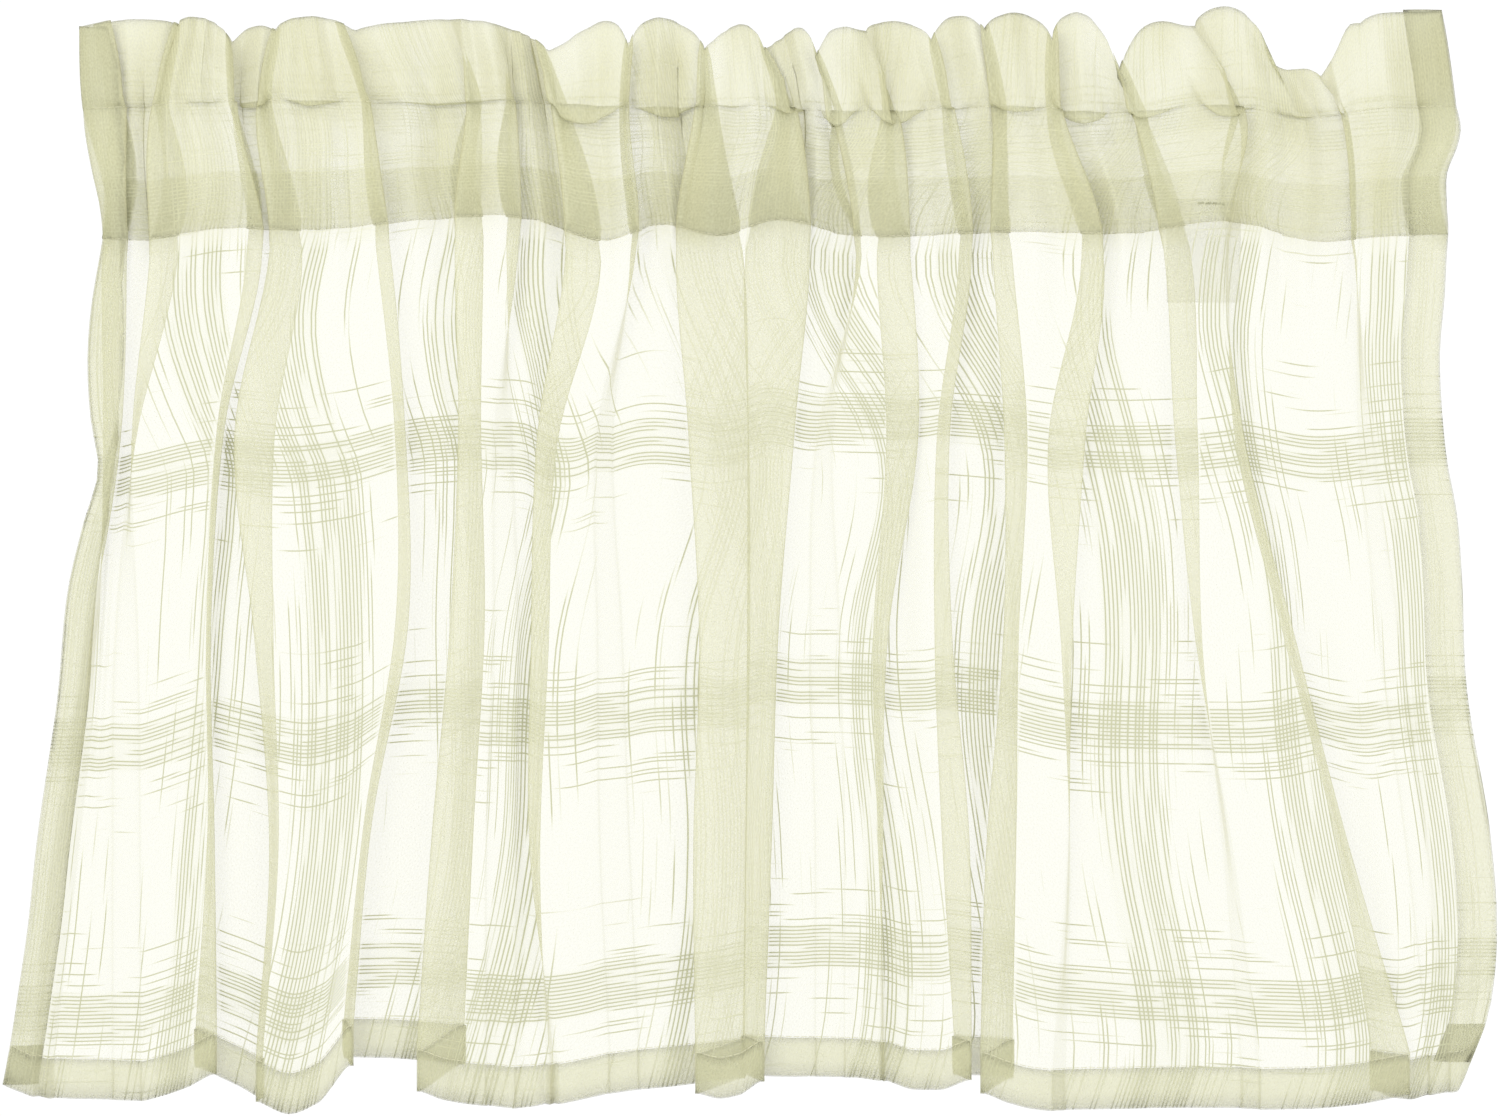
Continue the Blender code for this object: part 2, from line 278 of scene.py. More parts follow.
# depth of the lower edge at each fold's first and second turn, and in the open cloth after it
LEFT_CORNER = 440
RIGHT_CORNER = 431
LOWER_EDGE = [
    (445, 446.5, 447),
    (447, 447, 442.5),
    (435.6, 434, 440),
    (446.5, 447, 449.6),
    (432, 430, 430.6),
    (432.7, 442.6, 447),
    (449, 450.5, 450),
    (449, 448, 446),
    (444, 442.7, 441),
    (438.5, 443.5, 444.5),
    (438.5, 437, 437.7),
    (437.3, 437.3, 437.7),
    (438.5, 439.3, 442.2),
    (438, 437, 437.7),
    (438.5, 443.5, 448.5),
    (451, 451.3, 450.5),
    (450.5, 450.5, 449.3),
    (444.3, 443.5, 446.5),
    (445, 443.5, 441),
]
print("folds:", ", ".join(name for name, *_ in FOLDS))

# %% [markdown]
# ## The path in plan
# At every height the cloth is one long curve from the left edge to the right edge. Its control points
# are the seven points of each fold and two on each open pane between folds. A centripetal
# Catmull-Rom curve runs through them, because it never loops where the points lie unevenly apart.
# Every piece of the curve is cut into the same number of steps at every height, so that the same
# column of the mesh follows the same thread of the cloth from top to bottom.

# %% Control points at one depth
TURN_SHARE = 1 / 9  # radius of a fold's rounded edge, as a share of its depth
TURN_STEPS = 2
DIAGONAL_STEPS = 3
PANE_STEPS = 10
PANE_POINTS = (1 / 3, 2 / 3)  # how far across an open pane its two control points lie
PANE_SWELL = 1.6  # how far the open cloth swells to the front or the back between two folds
SWELL_NEXT = 2.4  # how far the swelling's wave moves on from one pane to the next
SWELL_ACROSS = 3  # and across a pane
SWELL_HEIGHT = 130  # and over this height it moves on by one radian
FOLD_STEPS = [TURN_STEPS] * 2 + [DIAGONAL_STEPS] * 2 + [TURN_STEPS] * 2


def fold_turns(fold, depth):
    """The seven control points of one fold at a depth."""
    _, centres, widths, set_backs = fold
    centre = smooth_read(FOLD_DEPTHS, centres, depth)
    width = smooth_read(FOLD_DEPTHS, widths, depth)
    set_back = np.interp(depth, (0, SEAM_DEPTH, LOWER_DEPTH), set_backs)
    radius = abs(set_back) * TURN_SHARE
    rounded = np.clip(width / (4 * radius), -1, 1)  # 1 on a doubled fold, -1 on an open wave
    step = math.copysign(radius, set_back)
    right, left = centre + width / 2, centre - width / 2
    start, end = -set_back / 2, set_back / 2
    return [
        (right - radius, start),
        (right, start + step),
        (right - radius * rounded, start + 2 * step),
        (centre, 0),
        (left + radius * rounded, end - 2 * step),
        (left, end - step),
        (left + radius, end),
    ]


def controls(depth):
    """The control points at one depth, and how many steps the curve takes after each of them."""
    left, right = side_edges(depth)
    groups = [fold_turns(fold, depth) for fold in FOLDS]
    groups = [[(left, groups[0][0][1])]] + groups + [[(right, groups[-1][-1][1])]]
    points, steps = [], []
    for i, (here, following) in enumerate(zip(groups, groups[1:])):
        points += here
        steps += FOLD_STEPS if len(here) > 1 else []
        (x0, y0), (x1, y1) = here[-1], following[0]
        for share in PANE_POINTS:
            ease = share * share * (3 - 2 * share)
            wave = SWELL_NEXT * i + SWELL_ACROSS * share + depth / SWELL_HEIGHT
            swell = PANE_SWELL * math.sin(wave)
            points.append((x0 + (x1 - x0) * share, y0 + (y1 - y0) * ease + swell))
        steps += [PANE_STEPS] * 3
    points += groups[-1]
    return np.array(points, float), steps


# %% The curve through them
NO_GAP = 1e-9  # keeps the knots apart where two control points meet


def curve_through(points, steps):
    """A centripetal Catmull-Rom curve, sampled steps[i] times after control point i."""
    gaps = np.linalg.norm(np.diff(points, axis=0), axis=1)
    knots = np.concatenate([[0], np.cumsum(np.sqrt(gaps + NO_GAP))])
    slopes = np.gradient(points, knots, axis=0)
    sampled = []
    for i, count in enumerate(steps):
        span = knots[i + 1] - knots[i]
        t = (np.arange(count) / count)[:, None]
        sampled.append(hermite(t, span, points, slopes, i))
    sampled.append(points[-1:])
    return np.concatenate(sampled)


def lower_edge():
    """Depth of the lower edge at each column of the cloth."""
    groups = [[LEFT_CORNER]]
    groups += [[first] * 3 + [(first + second) / 2] + [second] * 3 for first, second, _ in LOWER_EDGE]
    groups += [[RIGHT_CORNER]]
    middles = [(LEFT_CORNER + LOWER_EDGE[0][0]) / 2] + [after for *_, after in LOWER_EDGE]
    depths = []
    for i, (here, following) in enumerate(zip(groups, groups[1:])):
        depths += here
        swell = middles[i] - (here[-1] + following[0]) / 2
        for share in PANE_POINTS:
            depths.append(here[-1] + (following[0] - here[-1]) * share + swell)
    return np.array([(depth, 0) for depth in depths + groups[-1]], float)


def path_at(depth):
    """The cloth in plan at a depth."""
    return curve_through(*controls(depth))


steps = controls(SEAM_DEPTH)[1]
lower = curve_through(lower_edge(), steps)[:, 0]
print("columns:", len(lower))
for depth in FOLD_DEPTHS:
    print(f"cloth at depth {depth:.0f}: {distances_along(path_at(depth))[-1]:.0f} mm")

# %% [markdown]
# ## The rows of the cloth
# The cloth is followed along its length as it was sewn: the raw edge inside the lower hem, the hem's
# return at the back, the skirt up to the seam, the front of the pocket, the front of the ruffle, over
# the top fold, down the back of the ruffle and the pocket, and last the raw end turned in at the seam.
# Each row says which stretch it is on and how far along it.

# %% List the rows
SKIRT_LENGTH = LOWER_DEPTH - SEAM_DEPTH
BULGE_LENGTH = 6  # the pocket's walls bulge, so they are longer than they are high
POCKET_LENGTH = SEAM_DEPTH - STITCH_DEPTH + BULGE_LENGTH
RUFFLE_LENGTH = STITCH_DEPTH
# stretch, rows, length, the share of the stretch where it starts and ends
STRETCHES = [
    ("hem_inside", 3, RAW_TURN, 1 - RAW_TURN / HEM, 1),
    ("hem", 5, HEM, 1, 0),
    ("skirt", 42, SKIRT_LENGTH, 1, 0),
    ("pocket_front", 15, POCKET_LENGTH, 0, 1),
    ("ruffle_front", 20, RUFFLE_LENGTH, 0, 1),
    ("ruffle_back", 9, RUFFLE_LENGTH, 1, 0),
    ("pocket_back", 12, POCKET_LENGTH, 1, 0),
    ("turn_in", 6, TURN_IN, 0, 1),
]


def list_rows():
    """(stretch, share along it, distance along the cloth) of each row."""
    rows, along = [], 0
    for name, count, length, first, last in STRETCHES:
        for k in range(count):
            rows.append((name, first + (last - first) * k / count, along + length * k / count))
        along += length
    rows.append((name, last, along))
    return rows, along


rows, CUT_LENGTH = list_rows()
print("rows:", len(rows), "cut length:", CUT_LENGTH)


# %% One row in plan, with the side hems returned behind it
CUT_WIDTH = 900.0  # between the two side edges, laid flat
HEM_STEPS = 4
RAW_STEPS = 3
SIDE_STEPS = HEM_STEPS + RAW_STEPS


def hem_steps(raw_edge):
    """Places from the raw edge to the hem's inner fold and on to the side edge."""
    raw_turn = np.linspace(raw_edge, HEM, RAW_STEPS, endpoint=False)
    return np.concatenate([raw_turn, np.linspace(HEM, 0, HEM_STEPS, endpoint=False)])


HEM_PLACES = hem_steps(HEM - RAW_TURN)  # distance in from the side edge
HEM_ROUND = hem_steps(HEM + RAW_TURN)  # distance round the edge
HEM_LAYERS = np.repeat([0.5, 1.0], [RAW_STEPS, HEM_STEPS])  # layers behind the face


def with_side_hems(path):
    """The path with a double-turned hem at each end: points, their backward normals, distances along."""
    tangent = np.gradient(path, axis=0)
    tangent /= np.linalg.norm(tangent, axis=1)[:, None]
    normal = np.stack([-tangent[:, 1], tangent[:, 0]], axis=1)
    along = distances_along(path)
    total = along[-1]

    def behind(distance, layers):
        at = np.stack([np.interp(distance, along, path[:, k]) for k in (0, 1)], axis=1)
        facing = np.stack([np.interp(distance, along, normal[:, k]) for k in (0, 1)], axis=1)
        return at + facing * layers[:, None] * PLY, facing

    left, left_normal = behind(HEM_PLACES, HEM_LAYERS)
    right, right_normal = behind((total - HEM_PLACES)[::-1], HEM_LAYERS[::-1])
    points = np.concatenate([left, path, right])
    normals = np.concatenate([left_normal, normal, right_normal])
    stretched = along * CUT_WIDTH / total
    distances = np.concatenate([-HEM_ROUND, stretched, CUT_WIDTH + HEM_ROUND[::-1]])
    return points, normals, distances


def spread(values):
    """Values at the path's columns, repeated for the hems."""
    return np.concatenate([[values[0]] * SIDE_STEPS, values, [values[-1]] * SIDE_STEPS])


seam_x, stitch_x, top_x = (path_at(depth)[:, 0] for depth in (SEAM_DEPTH, STITCH_DEPTH, 0))
seam_line, stitch_line = spread(stitch_depths(seam_x)[1]), spread(stitch_depths(stitch_x)[0])
top_line = spread(np.array([ruffle_top(x) for x in top_x]))
sag_line = spread(np.array([ruffle_sag(x) for x in stitch_x]))
lower_line = spread(lower)

# %% [markdown]
# ## Gathers and wrinkles
# On each open pane between two folds the heading is gathered into a few small pleats. A pleat is a
# wave that also leans over sideways, so that its cloth doubles back a little. The pleats stand along
# the two stitch lines and die out down the skirt. A slow Perlin noise, stretched along the threads,
# gives the open cloth its soft unevenness, and another moves the folds of the pocket's back wall a
# little to the side of those in its front wall, as in cloth that was gathered by hand.

# %% Which pane each column is on, and how far across it
def pane_columns():
    panes, shares = [], []
    for pane in range(len(FOLDS) + 1):
        on_fold = sum(FOLD_STEPS) if pane else 0
        panes += [pane] * (on_fold + 3 * PANE_STEPS)
        shares += [0] * on_fold + [k / (3 * PANE_STEPS) for k in range(3 * PANE_STEPS)]
    return np.array(panes + [len(FOLDS)]), np.array(shares + [0])


panes, pane_shares = pane_columns()
print("panes:", panes[-1] + 1)

# %% Gathers and wrinkles as small movements of the cloth
GATHER = 3.2  # how far the pleats stand out along the stitch lines
GATHER_WIDTH = 17.0  # about how much of a pane each one takes
GATHER_LEAN = 0.9  # how far they lean over sideways
GATHER_NARROW = 1.5  # how quickly they get lower where a pane leaves them less room
GATHER_EVEN = 0.8  # the share of their height that they all have
GATHER_UNEVEN = 0.9  # and the share that differs from pleat to pleat
GATHER_HEIGHT = 70  # over which a pleat's own height changes
PANE_SEED = 3.1  # how far apart the noise is read for one pane and the next
SKIRT_GATHER = 0.9  # their strength at the top of the skirt
SKIRT_FADE = 55  # how far down it they reach
SKIRT_FADE_POWER = 1.3
# how strong the pleats are at the start, the middle and the end of each stretch
GATHER_STRENGTH = {
    "pocket_front": (0.9, 0.8, 1),
    "ruffle_front": (1, 0.8, 0.55),
    "ruffle_back": (1, 0.8, 0.55),
    "pocket_back": (0.9, 0.8, 1),
    "turn_in": (0.9, 0.9, 0.9),
}
STRAY = 12.0  # how far the back wall's folds may stray
STRAY_WIDTH = 60.0
WRINKLE = 0.9  # how far the slow wrinkles set the cloth forward or back
WRINKLE_WIDTH = 26.0
WRINKLE_HEIGHT = 110.0
pane_widths = np.array(
    [np.ptp(seam_x[(panes == pane) & (pane_shares > 0)]) for pane in range(len(FOLDS) + 1)]
)
pane_pleats = np.maximum(np.round(pane_widths / GATHER_WIDTH), 1)
pleats = pane_pleats[panes]
pleat_heights = np.minimum(pane_widths / pane_pleats / GATHER_WIDTH, 1)[panes] ** GATHER_NARROW


def gathered(path, stretch, share, depth):
    """The path in plan with its pleats at this height."""
    strength = np.interp(share, (0, 0.5, 1), GATHER_STRENGTH.get(stretch, (0, 0, 0)))
    if stretch == "skirt":
        strength = SKIRT_GATHER * max(1 - share * SKIRT_LENGTH / SKIRT_FADE, 0) ** SKIRT_FADE_POWER
    wave = 2 * math.pi * pleats * pane_shares
    uneven = noise_at(PANE_SEED * panes + pleats * pane_shares, depth / GATHER_HEIGHT, 3.7)
    height = strength * pleat_heights * np.sin(math.pi * pane_shares) ** 0.5
    height = height * (GATHER_EVEN + GATHER_UNEVEN * uneven)
    leaning = GATHER_LEAN * height * np.sin(2 * wave)
    return path + np.stack([leaning, GATHER * height * np.sin(wave)], axis=1)


def wrinkles(x, depth):
    """How far the slow wrinkles set the cloth back at these places."""
    return WRINKLE * noise_at(x / WRINKLE_WIDTH, depth / WRINKLE_HEIGHT, 9.1)


def back_shift(x, share):
    """Between its seams the back wall's folds stray a little to the side of the front wall's."""
    stray = noise_at(x / STRAY_WIDTH, 2.3, 7.7)
    from_edge = np.clip((SIDE_EDGES[0][2] - np.abs(x)) / STRAY_WIDTH, 0, 1)
    return STRAY * stray * from_edge * math.sin(math.pi * share)


# %% Place every row
RUFFLE_LEAN = 3.0  # how far the ruffle's top leans to the front or the back
LEAN_WIDTH = 45
RUFFLE_BULGE = 0.8  # how far each of its layers stands from its middle plane
RUFFLE_CLOSE = 4  # its layers close over the last quarter of its height
SAG_SHARE = 0.45  # of the ruffle's height, that its sagging pouch takes
SAG_BULGE = 0.5  # how far the pouch stands forward, as a share of its sag
SEAM_EASE = 8  # height over which the skirt comes back from the seam
POCKET_POWER = 0.85  # below 1 the pocket's section is squarer than an arch


def place_row(stretch, share):
    """Points of one row (x, y, depth) and their distances across the cloth."""
    side, bulge = 1, 0
    if "hem" in stretch or stretch == "skirt":
        sideways = {"hem_inside": 0.5 * PLY, "hem": PLY}.get(stretch)
        if sideways is None:
            sideways = -PLY * max(1 - share * SKIRT_LENGTH / SEAM_EASE, 0)
        else:
            share = 1 - share * HEM / SKIRT_LENGTH
        nominal = SEAM_DEPTH + share * SKIRT_LENGTH
        depth = seam_line + share * (lower_line - seam_line)
    elif "ruffle" in stretch:
        side = -1 if stretch == "ruffle_front" else 1
        nominal = STITCH_DEPTH * (1 - share)
        depth = stitch_line + share * (top_line - stitch_line)
        sideways = PLY * min(1, RUFFLE_CLOSE * (1 - share))
        bulge = RUFFLE_BULGE * math.sin(math.pi * share)
        if side < 0:
            pouch = sag_line * math.sin(math.pi * min(share / SAG_SHARE, 1))
            depth = depth + pouch
            bulge = bulge + SAG_BULGE * pouch
    else:
        side = -1 if stretch == "pocket_front" else 1
        sideways = PLY
        if stretch == "turn_in":
            share = share * TURN_IN / POCKET_LENGTH
            sideways = 0
        nominal = SEAM_DEPTH + share * (STITCH_DEPTH - SEAM_DEPTH)
        depth = seam_line + share * (stitch_line - seam_line)
        bulge = POCKET_BULGE * math.sin(math.pi * share) ** POCKET_POWER - (PLY - sideways)
    points, normals, distances = with_side_hems(gathered(path_at(nominal), stretch, share, nominal))
    x = points[:, 0] + side * sideways * normals[:, 0]
    y = points[:, 1] + side * (sideways * normals[:, 1] + bulge)
    if stretch in ("pocket_back", "turn_in"):
        x = x + back_shift(points[:, 0], share)
    y = y + wrinkles(points[:, 0], nominal)
    if "ruffle" in stretch:
        y = y + RUFFLE_LEAN * share**2 * noise_at(points[:, 0] / LEAN_WIDTH, 0.5, 5.5)
    return np.stack([x, y, depth], axis=1), distances


placed = [place_row(stretch, share) for stretch, share, _ in rows]
cloth_points = np.array([points for points, _ in placed])
across = np.array([distances for _, distances in placed])
print("cloth grid:", cloth_points.shape)


# %% The panel's mesh, and where each point lies on the flat cloth
UV_MARGIN = 30.0  # room for the plaid's drift round the flat cloth
# The weft bands aren't quite level: distance across the cloth, how far they hang lower there
WEFT_DRIFT = [(0, 12), (200, 5), (380, 0), (520, -11), (600, -11), (720, 0), (800, 4), (900, 0)]
# Nor are the warp bands quite evenly spaced: distance across the cloth, how far they are moved
WARP_DRIFT = [(0, 0), (240, 0), (296, 20), (400, 0), (480, 0)]
WARP_DRIFT += [(548, 10), (640, 0), (732, -12), (812, -12), (900, 0)]
CROWDED = 2.5  # the most that crowding counts
EDGE_ON = 0.05  # the least width in which a column of cloth is seen, edge on
PRESSED = 1.35  # the hems are pressed flat, which closes their weave
SEWN_LAYERS = 2.5  # the heading and the hems have this many times the skirt's layers
# The gathered heading is puckered too finely for the mesh: how much that closes its weave
PUCKERS = {"ruffle": 1.75, "pocket": 1.5}
PUCKERS_VARY = 0.9
PUCKER_WIDTH = 15.0
PUCKER_HEIGHT = 38.0


def add_piece(name, bm):
    """An object with the shape that a bmesh holds."""
    mesh = bpy.data.meshes.new(name)
    bm.to_mesh(mesh)
    bm.free()
    piece = bpy.data.objects.new(name, mesh)
    bpy.context.scene.collection.objects.link(piece)
    print(name, len(mesh.polygons), "faces")
    return piece


def grid_piece(name, points, uvs, fields):
    """A grid primitive moved to points[row][column], with a UV map and named values at its points."""
    row_count, column_count = points.shape[:2]
    bm = bmesh.new()
    bmesh.ops.create_grid(bm, x_segments=column_count - 1, y_segments=row_count - 1, size=0.5)
    cells = []
    for vert in bm.verts:
        column = round((vert.co.x + 0.5) * (column_count - 1))
        row = round((vert.co.y + 0.5) * (row_count - 1))
        x, y, depth = points[row, column]
        vert.co = (x * MM, y * MM, -depth * MM)
        cells.append((row, column))
    piece = add_piece(name, bm)
    mesh = piece.data
    cells = np.array(cells)
    for field, values in fields.items():
        layer = mesh.attributes.new(field, "FLOAT", "POINT")
        layer.data.foreach_set("value", values[cells[:, 0], cells[:, 1]])
    corners = np.empty(len(mesh.loops), int)
    mesh.loops.foreach_get("vertex_index", corners)
    cells = cells[corners]
    uv_map = mesh.uv_layers.new(name="OFBake")
    uv_map.data.foreach_set("uv", uvs[cells[:, 0], cells[:, 1]].astype(np.float32).ravel())
    mesh.shade_smooth()
    return piece


SIDE_TURN = HEM + RAW_TURN
UV_WIDTH = CUT_WIDTH + 2 * SIDE_TURN + 2 * UV_MARGIN
UV_LENGTH = CUT_LENGTH + 2 * UV_MARGIN
weft_drift = np.interp(across, *columns_of(WEFT_DRIFT))
warp_drift = np.interp(across, *columns_of(WARP_DRIFT))
down_cloth = np.array([along for *_, along in rows])[:, None] + weft_drift
across_cloth = across + warp_drift + SIDE_TURN
uvs = np.stack([(across_cloth + UV_MARGIN) / UV_WIDTH, (down_cloth + UV_MARGIN) / UV_LENGTH], axis=2)


def crowding(points):
    """How much closer its threads look from in front where the cloth runs from front to back."""
    run = np.gradient(points[:, :, :2], axis=1)
    steep = np.linalg.norm(run, axis=2) / np.maximum(np.abs(run[:, :, 0]), EDGE_ON)
    for (stretch, *_), row, steepness in zip(rows, points, steep):
        puckers = PUCKERS.get(stretch.split("_")[0])
        if puckers:
            uneven = noise_at(row[:, 0] / PUCKER_WIDTH, row[:, 2] / PUCKER_HEIGHT, 1.3)
            steepness *= puckers + PUCKERS_VARY * uneven
        elif "hem" in stretch:
            steepness *= PRESSED
    return np.clip(steep, 1, CROWDED)


def layers(points):
    """How many layers of the cloth lie one behind another at each of its points, seen from in front."""
    counts = []
    for (stretch, share, _), row in zip(rows, points):
        x = row[:, 0]
        low, high = np.minimum(x[:-1], x[1:]), np.maximum(x[:-1], x[1:])
        crossed = ((low[None] <= x[:, None]) & (x[:, None] < high[None])).sum(axis=1)
        sewn = stretch != "skirt" or (1 - share) * SKIRT_LENGTH < HEM
        counts.append(np.maximum(crossed, 1) * (SEWN_LAYERS if sewn else 1))
    return np.array(counts, float)


cloth_fields = {"crowding": crowding(cloth_points), "layers": layers(cloth_points)}
panel = grid_piece("panel", cloth_points, uvs, cloth_fields)

# %% [markdown]
# ## Stitches
# A lockstitch shows as short bars of thread with small gaps. One bar is a little cylinder. It is
# copied along a row of the cloth, lies on its surface and turns with it. The rows are the two stitch
# lines of the heading, on both of its faces, and the inner edge of the lower hem, on both of its faces.

# %% Sew along a line of the cloth
STITCH = 2.4
STITCH_PITCH = 3.2
THREAD = 0.2
THREAD_SIDES = 5


def stitch_marks(line):
    """Ends of the stitches along a line of points, in millimetres."""
    along = distances_along(line)
    starts = np.arange(STITCH_PITCH / 2, along[-1] - STITCH, STITCH_PITCH)

    def at(distance):
        return np.stack([np.interp(distance, along, line[:, k]) for k in range(3)], axis=1)

    return zip(at(starts), at(starts + STITCH))


def one_stitch(thickness):
    """A stitch one unit long, standing on Z."""
    bm = bmesh.new()
    radius = thickness / 2 * MM
    bmesh.ops.create_cone(bm, segments=THREAD_SIDES, radius1=radius, radius2=radius, depth=1, cap_ends=True)
    mesh = bpy.data.meshes.new("one_stitch")
    bm.to_mesh(mesh)
    bm.free()
    return mesh


def add_stitches(name, lines, thickness=THREAD):
    """A piece of all the stitches along some lines."""
    bm = bmesh.new()
    stitch = one_stitch(thickness)
    for line in lines:
        for a, b in stitch_marks(line):
            start, end = (Vector((p[0], p[1], -p[2])) * MM for p in (a, b))
            turn = (end - start).to_track_quat("Z", "Y")
            copy = stitch.copy()
            copy.transform(Matrix.LocRotScale((start + end) / 2, turn, (1, 1, (end - start).length)))
            bm.from_mesh(copy)
            bpy.data.meshes.remove(copy)
    bpy.data.meshes.remove(stitch)
    piece = add_piece(name, bm)
    piece.data.shade_smooth()
    return piece


def row_index(stretch, share):
    """The row of the cloth nearest to a place on a stretch."""
    found = [i for i, (name, at, _) in enumerate(rows) if name == stretch]
    return min(found, key=lambda i: abs(rows[i][1] - share))


def off_surface(row, side):
    """A row of the cloth lifted off its surface by a thread, to its front (-1) or its back (1)."""
    points = cloth_points[row, SIDE_STEPS:-SIDE_STEPS]
    tangent = np.gradient(points[:, :2], axis=0)
    tangent /= np.linalg.norm(tangent, axis=1)[:, None]
    lifted = points.copy()
    lifted[:, 0] -= side * tangent[:, 1] * THREAD
    lifted[:, 1] += side * tangent[:, 0] * THREAD
    return lifted


heading_thread = add_stitches(
    "heading_thread",
    [
        off_surface(row_index("ruffle_front", 0), -1),
        off_surface(row_index("pocket_front", 0), -1),
        off_surface(row_index("ruffle_back", 0), 1),
        off_surface(row_index("pocket_back", 0), 1),
    ],
)
hem_row = row_index("skirt", 1 - HEM / SKIRT_LENGTH)
hem_thread = add_stitches("hem_thread", [off_surface(hem_row, -1), off_surface(hem_row, 1)])

# %% [markdown]
# ## The care label
# The label is a short length of plain woven tape. It is sewn by its top edge to the back of the
# pocket, where it follows the wall's folds, and hangs free below, a little curled at its lower edge
# and its sides. It is left bare.

# %% The label
label_low, label_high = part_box("care_label")
LABEL_ROWS = 24
LABEL_COLUMNS = 12
LABEL_THICKNESS = 0.35
LABEL_CURL = 1.4  # how far its lower edge and its sides curl
LABEL_RIPPLE = 0.25
RIPPLE_DOWN = 9  # radians of the ripple from its top to its lower edge
RIPPLE_ACROSS = 5  # and from side to side
LABEL_TAPER = 0.02  # how much narrower it looks at its lower edge
LABEL_BACK = 0.6  # how far it hangs behind the front of its solid
LABEL_OFF = 0.4  # how far its middle lies off the wall it is sewn to
LABEL_EASE = 12.0  # from its sewn edge to where it hangs clear of the cloth
EASE_POWER = 0.7
LABEL_SHIFT = 2.0  # to the right of its solid, where the cloth hides it less


def wall_face(x, depth, side):
    """How far back a face of the pocket's back wall lies: the outer (1) or the inner one (-1)."""
    stitch, seam = stitch_depths(x[len(x) // 2])
    wall = off_surface(row_index("pocket_back", (seam - depth) / (seam - stitch)), side)
    wall = wall[np.argsort(wall[:, 0])]
    return np.interp(x, wall[:, 0], wall[:, 1])


def label_grid():
    """Points of the label, from its lower edge up to its sewn edge."""
    width = (label_high.x - label_low.x) / MM
    height = (label_high.z - label_low.z) / MM
    near = label_low.y / MM + LABEL_BACK
    middle = (label_low.x + label_high.x) / 2 / MM + LABEL_SHIFT
    sewn_x = middle + width * np.linspace(-0.5, 0.5, LABEL_COLUMNS + 1)
    sewn = wall_face(sewn_x, -label_high.z / MM, 1)
    print("the label's sewn edge lies", sewn.round(1), "and the rest of it", near)
    points = np.zeros((LABEL_ROWS + 1, LABEL_COLUMNS + 1, 3))
    for i in range(LABEL_ROWS + 1):
        for j in range(LABEL_COLUMNS + 1):
            down, side = 1 - i / LABEL_ROWS, j / LABEL_COLUMNS - 0.5
            curl = LABEL_CURL * (down**2 + 2 * down * side**2)
            ripple = LABEL_RIPPLE * math.sin(RIPPLE_DOWN * down + RIPPLE_ACROSS * side)
            hung = min(down * height / LABEL_EASE, 1) ** EASE_POWER
            y = near * hung + (sewn[j] + LABEL_OFF) * (1 - hung) + curl + ripple
            x = middle + width * side * (1 - LABEL_TAPER * down)
            points[i, j] = (x, y, -label_high.z / MM + height * down)
    return points


label_points = label_grid()
label_shares = [np.linspace(0, 1, count + 1) for count in (LABEL_COLUMNS, LABEL_ROWS)]
label = grid_piece("label", label_points, np.stack(np.meshgrid(*label_shares), axis=2), {})
tape = label.modifiers.new("tape", "SOLIDIFY")
tape.thickness = LABEL_THICKNESS * MM
tape.offset = 0

# %% The label's stitches, behind it and inside the pocket
LABEL_THREAD = 0.6  # the label is sewn on with a thicker, darker thread
SEWN_COLUMNS = slice(4, -2)  # the part of its edge that the stitches cross
top_edge = label_points[-2, SEWN_COLUMNS].copy()
top_edge[:, 1] += LABEL_THREAD / 2
inner_edge = top_edge.copy()
inner_edge[:, 1] = wall_face(top_edge[:, 0], top_edge[0, 2], -1) - LABEL_THREAD / 2
label_thread = add_stitches("label_thread", [top_edge, inner_edge], LABEL_THREAD)

# %% [markdown]
# ## Shader maths
# The weave is a small calculation at each point of the cloth. Written with nodes it would be a long
# list, so a Field wraps a socket and turns + - * / and a few named steps into Math nodes. Every other
# node comes from one method, which takes its kind, its settings and what goes into its sockets.


# %% A field
class Field:
    """A number that changes over a surface: a socket, with arithmetic that adds Math nodes."""

    def __init__(self, nodes, socket):
        self.nodes = nodes
        self.socket = socket

    def math(self, operation, *others):
        values = dict(enumerate((self, *others)))
        return self.nodes.node("ShaderNodeMath", {"operation": operation}, values)

    def __add__(self, other):
        return self.math("ADD", other)

    def __sub__(self, other):
        return self.math("SUBTRACT", other)

    def __mul__(self, other):
        return self.math("MULTIPLY", other)

    def __truediv__(self, other):
        return self.math("DIVIDE", other)

    def __rsub__(self, other):
        return self * -1 + other

    __radd__ = __add__
    __rmul__ = __mul__

    def __lt__(self, other):
        return self.math("LESS_THAN", other)

    def floor(self):
        return self.math("FLOOR")

    def fraction(self):
        return self.math("FRACT")

    def pingpong(self, reach):
        """0 at 0, rising to reach and falling back, over and over."""
        return self.math("PINGPONG", reach)

    def power(self, other):
        return self.math("POWER", other)

    def largest(self, other):
        return self.math("MAXIMUM", other)

    def clamp(self):
        return self.nodes.node("ShaderNodeClamp", {}, {"Value": self})


# %% Nodes and a finish
# Several sockets of a Mix node share each name, so its colours go by number
MIX_FIRST = 6
MIX_SECOND = 7
MIX_RESULT = 2


